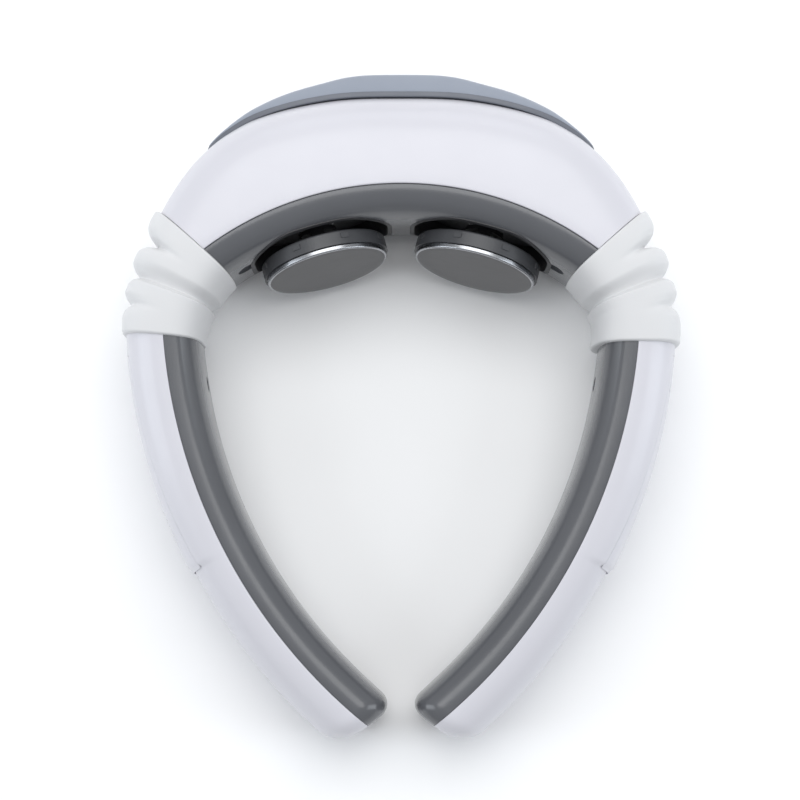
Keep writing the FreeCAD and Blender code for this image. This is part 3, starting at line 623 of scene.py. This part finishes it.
def panel_skin(name):
    """Flush panel with rounded edges, as thick as the step."""
    edge = 0.3
    rim = [(-0.15, PANEL_LIFT), (0.0, PANEL_LIFT + 0.15)]
    for i in range(7):
        t = rad(90 * i / 6)
        rim.append((-edge * (1 - math.cos(t)), ARM_STEP - edge + edge * math.sin(t)))
    over = [(-edge - (PANEL_MIDDLE - edge) * k / 16, ARM_STEP) for k in range(1, 17)]
    over.append((PANEL_GAP - (PANEL_HIGH - PANEL_LOW) / 2, ARM_STEP))
    under = [(grow, PANEL_LIFT) for grow, _ in reversed(over)]
    loops = [panel_loop(grow - PANEL_GAP, extra) for grow, extra in under + rim + over]
    return loops_to_mesh(name, loops, cap_start=False, cap_end=False)


def pocket_cutter(name):
    """What is cut out of the casing to seat the panel."""
    loops = [panel_loop(-POCKET_MIDDLE * k / 16, POCKET_LIFT, POCKET_PAST) for k in range(16, -1, -1)]
    loops += [panel_loop(0.0, lift, POCKET_PAST) for lift in (1.0, 9.0)]
    return loops_to_mesh(name, loops)


right_shell = arm_half("right_arm_shell_skin", True)
cut_with(right_shell, [pocket_cutter("pocket")])
left_shell = mirror_copy(right_shell, "left_arm_shell_skin")


def button_cutters():
    made = []
    for b, phi, r in BUTTONS:
        place = radial_frame(phi, BUTTON_Z)
        made.append(plug("hole_" + b, place, r + BUTTON_GAP, CUT_FROM, CUT_TO, 96))
    made.append(plug("hole_lens", radial_frame(LENS_AT, LENS_Z), LENS_R, CUT_FROM, CUT_TO, 48))
    return made


cut_with(right_shell, button_cutters())

right_lining = arm_half("right_arm_lining_skin", False)
screw_place = radial_frame(SCREW_AT, SCREW_Z)
cut_with(right_lining, [plug("screw_hole", screw_place, SCREW_HOLE, -16.0, SCREW_SEAT, 64)])
left_lining = mirror_copy(right_lining, "left_arm_lining_skin")
left_lining.data.set_sharp_from_angle(angle=rad(35))

for obj, tag in ((right_shell, "right"), (left_shell, "left")):
    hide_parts(tag + "_arm_shell")
    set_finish(obj, "casing_white")
    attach(obj, tag + "_arm")
for obj, tag in ((right_lining, "right"), (left_lining, "left")):
    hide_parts(tag + "_arm_lining")
    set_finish(obj, "lining_grey")
    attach(obj, tag + "_arm")

right_panel = panel_skin("button_panel_skin")
door = mirror_copy(right_panel, "battery_door_skin")
cut_with(right_panel, button_cutters())
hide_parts("button_panel")
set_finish(right_panel, "casing_white")
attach(right_panel, "right_arm")

# a row of shallow finger grooves in the battery door
GRIP_FROM, GRIP_PITCH, GRIP_R, GRIP_HALF = -21.4, 0.75, 0.55, 8.0
grooves = []
for k in range(5):
    phi = GRIP_FROM - GRIP_PITCH * k
    place = radial_frame(phi, BUTTON_Z)
    loops = []
    for i in range(25):
        v = GRIP_HALF * (i / 12 - 1)
        r = GRIP_R * math.sqrt(max(0.002, 1 - (v / GRIP_HALF) ** 6))
        a = arm_surface(phi, BUTTON_Z + v, ARM_STEP) + 0.2
        turns = [rad(w) for w in range(0, 360, 20)]
        loops.append([place(r * math.cos(w), v, a + r * math.sin(w)) for w in turns])
    groove = loops_to_mesh(f"grip_{k}", loops, sharp=60)
    grooves.append(mirror_copy(groove, f"door_groove_{k}"))
    bpy.data.objects.remove(groove)
cut_with(door, grooves)
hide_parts("battery_door")
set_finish(door, "casing_white")
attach(door, "battery_door")

for b, phi, r in BUTTONS:
    outline = [(0.01, BUTTON_TOP), (r * 0.5, BUTTON_TOP - 0.05)]
    outline += reversed(arc(r - 0.6, BUTTON_TOP - 0.75, 0.6, 0, 80, 6))
    outline += [(r, 7.2), (r + 1.0, 7.2), (r + 1.0, 5.9), (0.01, 5.9)]
    cap = lathe(b + "_button_skin", outline, radial_frame(phi, BUTTON_Z), 96)
    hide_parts(b + "_button")
    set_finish(cap, "button_grey")
    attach(cap, b + "_button")

lens_face = arm_surface(LENS_AT, LENS_Z, ARM_STEP) + 0.05
lens_outline = [(0.01, lens_face), (0.8, lens_face - 0.04), (LENS_R - 0.05, lens_face - 0.2),
                (LENS_R - 0.05, ARM_OUT - WALL), (0.01, ARM_OUT - WALL)]
lens = lathe("indicator_lens_skin", lens_outline, radial_frame(LENS_AT, LENS_Z), 48)
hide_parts("indicator_lens")
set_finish(lens, "lens_clear")
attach(lens, "right_arm")

# ---------------------------------------------------------------- heads

PLATE_R, FACE_R = 17.6, 16.95
for place, tag in ((head_right, "right"), (head_left, "left")):
    face = [(0.01, -0.9), (4.0, -0.88), (8.0, -0.82), (12.0, -0.72), (15.0, -0.63), (FACE_R, -0.57)]
    face += arc(PLATE_R - 0.45, -0.1, 0.45, -90, 0, 12)
    face += [(PLATE_R, 0.65), (PLATE_R - 0.18, 0.84), (16.75, 0.84), (16.75, 0.27), (0.01, 0.27)]
    plate = lathe(tag + "_plate_skin", face, place, 192)
    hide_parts(tag + "_electrode_plate")
    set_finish(plate, "electrode_steel")
    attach(plate, tag + "_head")

# a smooth band round each cup
CUP_R, BAND_IN, BAND_FROM, BAND_TO = 18.2, 16.3, 0.95, 5.1
for place, tag in ((head_right, "right"), (head_left, "left")):
    outline = [(BAND_IN, BAND_FROM + 0.5), (CUP_R - 0.3, BAND_FROM),
               (CUP_R, BAND_FROM + 0.3), (CUP_R, BAND_TO - 0.7)]
    outline += arc(CUP_R - 0.6, BAND_TO - 0.6, 0.6, 0, 90, 6)
    outline += [(BAND_IN, BAND_TO), (BAND_IN, BAND_FROM + 0.5)]
    loops = []
    for k in range(145):
        w = 2 * math.pi * k / 144
        loops.append([place(r * math.cos(w), r * math.sin(w), s) for r, s in outline])
    band = loops_to_mesh(tag + "_cup_band", loops, closed=False, cap_start=False, cap_end=False)
    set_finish(band, "cup_dark")
    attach(band, tag + "_head")

# a coiled spring behind each head, fixed to the housing
SPRING_R, SPRING_WIRE, SPRING_FROM, SPRING_LONG = 4.9, 0.5, 12.2, 14.2
SPRING_TURNS, SPRING_STEPS, SPRING_KEEP = 5, 40, 0.72
for side, tag in ((1, "right"), (-1, "left")):
    place = head_right if side == 1 else head_left
    loops = []
    for k in range(SPRING_TURNS * SPRING_STEPS + 1):
        w = 2 * math.pi * k / SPRING_STEPS
        rise = SPRING_FROM + SPRING_LONG * k / (SPRING_TURNS * SPRING_STEPS)
        ring = []
        for j in range(14):
            v = 2 * math.pi * j / 14
            r = SPRING_R + SPRING_WIRE * math.cos(v)
            ring.append(place(r * math.cos(w), r * math.sin(w), rise + SPRING_WIRE * math.sin(v)))
        loops.append(ring)
    spring = loops_to_mesh(tag + "_head_spring_skin", loops)
    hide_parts(tag + "_head_spring")
    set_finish(spring, "spring_steel")
    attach(spring, "housing")
    back = place(0.0, 0.0, SPRING_FROM + SPRING_LONG + SPRING_WIRE)
    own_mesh(spring)

# ---------------------------------------------------------------- finishes


def finish(name, base, rough, metallic=0.0, coat=0.0, spread=0.03, grain=1800.0, bump=0.04, wear=0.25,
           sheen=0.0, streak=None, spec=0.5):
    """Procedural finish: drifting colour, fine grain, uneven gloss and lightly rubbed edges."""
    mat = bpy.data.materials.new(name)
    mat.use_nodes = True
    nt = mat.node_tree
    nodes, links = nt.nodes, nt.links
    bsdf = nodes["Principled BSDF"]
    bsdf.inputs["Metallic"].default_value = metallic
    bsdf.inputs["Coat Weight"].default_value = coat
    bsdf.inputs["Coat Roughness"].default_value = 0.12
    bsdf.inputs["Specular IOR Level"].default_value = spec
    bsdf.inputs["Sheen Weight"].default_value = sheen
    coord = nodes.new("ShaderNodeTexCoord")
    mapping = nodes.new("ShaderNodeMapping")
    if streak:
        mapping.inputs["Scale"].default_value = streak
    links.new(coord.outputs["Object"], mapping.inputs["Vector"])

    def noise(scale, detail=3.0, source=None):
        n = nodes.new("ShaderNodeTexNoise")
        n.inputs["Scale"].default_value = scale
        n.inputs["Detail"].default_value = detail
        links.new((source or coord.outputs["Object"]), n.inputs["Vector"])
        return n.outputs["Fac"]

    def ramp(value, low, high):
        m = nodes.new("ShaderNodeMapRange")
        m.inputs["From Min"].default_value = 0.3
        m.inputs["From Max"].default_value = 0.7
        m.inputs["To Min"].default_value = low
        m.inputs["To Max"].default_value = high
        links.new(value, m.inputs["Value"])
        return m.outputs["Result"]

    def mix(fac, a, b):
        m = nodes.new("ShaderNodeMix")
        m.data_type = "RGBA"
        links.new(fac, m.inputs["Factor"])
        for value, socket in ((a, m.inputs["A"]), (b, m.inputs["B"])):
            if isinstance(value, tuple):
                socket.default_value = value
            else:
                links.new(value, socket)
        return m.outputs["Result"]

    dark = tuple(c * (1 - spread) for c in base) + (1.0,)
    light = tuple(min(c * (1 + spread), 1.0) for c in base) + (1.0,)
    colour = mix(ramp(noise(45.0, 2.0), 0.0, 1.0), dark, light)
    geometry = nodes.new("ShaderNodeNewGeometry")
    edge = nodes.new("ShaderNodeMapRange")
    edge.inputs["From Min"].default_value = 0.55
    edge.inputs["From Max"].default_value = 0.72
    edge.inputs["To Max"].default_value = wear
    links.new(geometry.outputs["Pointiness"], edge.inputs["Value"])
    rubbed = tuple(min(c * 1.25 + 0.02, 1.0) for c in base) + (1.0,)
    colour = mix(edge.outputs["Result"], colour, rubbed)
    links.new(colour, bsdf.inputs["Base Color"])
    gloss = ramp(noise(160.0, 4.0, mapping.outputs["Vector"]), rough * 0.88, min(rough * 1.14, 1.0))
    links.new(gloss, bsdf.inputs["Roughness"])
    relief = nodes.new("ShaderNodeBump")
    relief.inputs["Strength"].default_value = bump
    relief.inputs["Distance"].default_value = 0.0002
    links.new(noise(grain, 2.0, mapping.outputs["Vector"]), relief.inputs["Height"])
    links.new(relief.outputs["Normal"], bsdf.inputs["Normal"])
    return mat


finishes = {
    "casing_white": finish("casing_white", (0.630, 0.624, 0.666), 0.34, coat=0.15, spread=0.008, bump=0.03,
                           wear=0.1),
    "lining_grey": finish("lining_grey", (0.10, 0.103, 0.112), 0.23, coat=0.25, spread=0.04, bump=0.05,
                          wear=0.2),
    "trim_blue_grey": finish("trim_blue_grey", (0.27, 0.30, 0.36), 0.33, coat=0.2, spread=0.03, bump=0.04,
                             wear=0.2),
    # painted shade: a darker copy of the trim's blue-grey for the flange, standing for the shade in the gap
    # between the trim and the casing
    "trim_flange_painted_shade": finish("trim_flange_painted_shade", (0.13, 0.14, 0.165), 0.4, spread=0.03, bump=0.04, wear=0.1),
    "bellows_rubber": finish("bellows_rubber", (0.67, 0.67, 0.675), 0.55, spread=0.012, grain=2600, bump=0.08,
                             wear=0.1, sheen=0.15),
    "inner_plastic": finish("inner_plastic", (0.5, 0.5, 0.48), 0.5),
    "guide_dark": finish("guide_dark", (0.03, 0.03, 0.033), 0.42),
    "cup_dark": finish("cup_dark", (0.055, 0.057, 0.062), 0.38, bump=0.06),
    "electrode_steel": finish("electrode_steel", (0.42, 0.43, 0.45), 0.26, metallic=1.0, spread=0.02,
                              grain=700, bump=0.01, wear=0.3, streak=(1.0, 1.0, 6.0)),
    # painted reflection: near-black steel for the plate's face, standing for the dark surroundings its mirror
    # face reflects; the rim keeps the lighter steel
    "electrode_face_painted_reflection": finish("electrode_face_painted_reflection", (0.05, 0.05, 0.053), 0.2, metallic=1.0, spread=0.03,
                             grain=700, bump=0.01, wear=0.0, streak=(1.0, 1.0, 6.0)),
    "steel": finish("steel", (0.55, 0.56, 0.57), 0.3, metallic=1.0, bump=0.05),
    "spring_steel": finish("spring_steel", (0.42, 0.42, 0.43), 0.28, metallic=1.0, bump=0.04),
    "cell_jacket": finish("cell_jacket", (0.08, 0.1, 0.12), 0.35, coat=0.3),
    "contact_metal": finish("contact_metal", (0.66, 0.62, 0.5), 0.25, metallic=1.0),
    "board_green": finish("board_green", (0.03, 0.16, 0.07), 0.35, coat=0.3),
    "switch_black": finish("switch_black", (0.02, 0.02, 0.02), 0.4),
    "lens_clear": finish("lens_clear", (0.75, 0.78, 0.8), 0.25, coat=0.4),
    "button_grey": finish("button_grey", (0.30, 0.31, 0.33), 0.5, bump=0.08),
}

slot_of = {s["node"]: s["material_slot"] for s in frame["record"]["subparts"]}
for node, obj in frame["nodes"].items():
    obj.data.materials.clear()
    obj.data.materials.append(finishes[slot_of[node]])
    obj.data.shade_smooth()
    obj.data.set_sharp_from_angle(angle=rad(30))
cad = set(frame["nodes"].values())
for obj in bpy.context.scene.objects:
    if obj.type == "MESH" and obj not in cad and "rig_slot" in obj:
        obj.data.materials.clear()
        obj.data.materials.append(finishes[obj["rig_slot"]])
# each plate's face, inside FACE_R, gets the second material: painted reflection, dark steel standing for a
# dark reflection
for tag in ("right", "left"):
    plate = bpy.data.objects[tag + "_plate_skin"]
    plate.data.materials.append(finishes["electrode_face_painted_reflection"])
    centre = Vector((HEAD[0] if tag == "right" else -HEAD[0], HEAD[1] + LAYOUT_Y, HEAD[2])) * MM
    for poly in plate.data.polygons:
        if (poly.center - centre).length < FACE_R * MM:
            poly.material_index = 1
# the flange's darker finish is painted shade: it stands for the shadow in the gap between the trim and the
# casing
flange.data.materials.clear()
flange.data.materials.append(finishes["trim_flange_painted_shade"])

# ---------------------------------------------------------------- floor, light, camera

floor_mesh = bpy.data.meshes.new("studio_floor")
floor_mesh.from_pydata([(-3, -3, 0), (3, -3, 0), (3, 3, 0), (-3, 3, 0)], [], [(0, 1, 2, 3)])
floor = bpy.data.objects.new("studio_floor", floor_mesh)
bpy.context.scene.collection.objects.link(floor)
pale = finish("floor_pale", (0.97, 0.97, 0.97), 0.9, spread=0.004, bump=0.0, wear=0.0, spec=0.1)
floor_mesh.materials.append(pale)


def softbox(name, place, target, size_x, size_y, power, tint=(1.0, 1.0, 1.0)):
    """Rectangular area light aimed at a target."""
    lamp = bpy.data.lights.new(name, "AREA")
    lamp.shape = "RECTANGLE"
    lamp.size, lamp.size_y = size_x, size_y
    lamp.energy = power
    lamp.color = tint
    obj = bpy.data.objects.new(name, lamp)
    obj.location = place
    obj.rotation_euler = (Vector(target) - Vector(place)).to_track_quat("-Z", "Y").to_euler()
    bpy.context.scene.collection.objects.link(obj)
    return obj


softbox("key_top", (0.0, 0.45, 1.2), (0, 0, 0), 1.3, 0.9, 9.8)
softbox("side_left", (-0.9, -0.1, 0.42), (0, 0, 0.02), 0.4, 0.9, 3.0, (0.88, 0.94, 1.0))
softbox("side_right", (0.9, -0.1, 0.42), (0, 0, 0.02), 0.4, 0.9, 3.0, (0.88, 0.94, 1.0))
softbox("back_rim", (0.0, 1.0, 0.5), (0, 0, 0.02), 1.0, 0.4, 1.6, (0.93, 0.96, 1.0))

world = bpy.data.worlds.new("studio")
bpy.context.scene.world = world
world.use_nodes = True
world.node_tree.nodes["Background"].inputs["Color"].default_value = (0.95, 0.97, 1.0, 1.0)
world.node_tree.nodes["Background"].inputs["Strength"].default_value = 0.46

camera_data = bpy.data.cameras.new("camera")
camera = bpy.data.objects.new("camera", camera_data)
bpy.context.scene.collection.objects.link(camera)
bpy.context.scene.camera = camera
CAMERA_DISTANCE, CAMERA_RISE, CAMERA_LENS = 0.75, 85.0, 117.6
target = Vector((-0.0003, LAYOUT_Y * MM, 0.023))
towards = Vector((0, -math.cos(rad(CAMERA_RISE)), math.sin(rad(CAMERA_RISE))))
camera.location = target + towards * CAMERA_DISTANCE
camera.rotation_euler = (rad(90 - CAMERA_RISE), 0, 0)
camera_data.sensor_width = 36.0
camera_data.lens = CAMERA_LENS
camera_data.clip_start = 0.01
bpy.context.scene.view_settings.view_transform = "Standard"
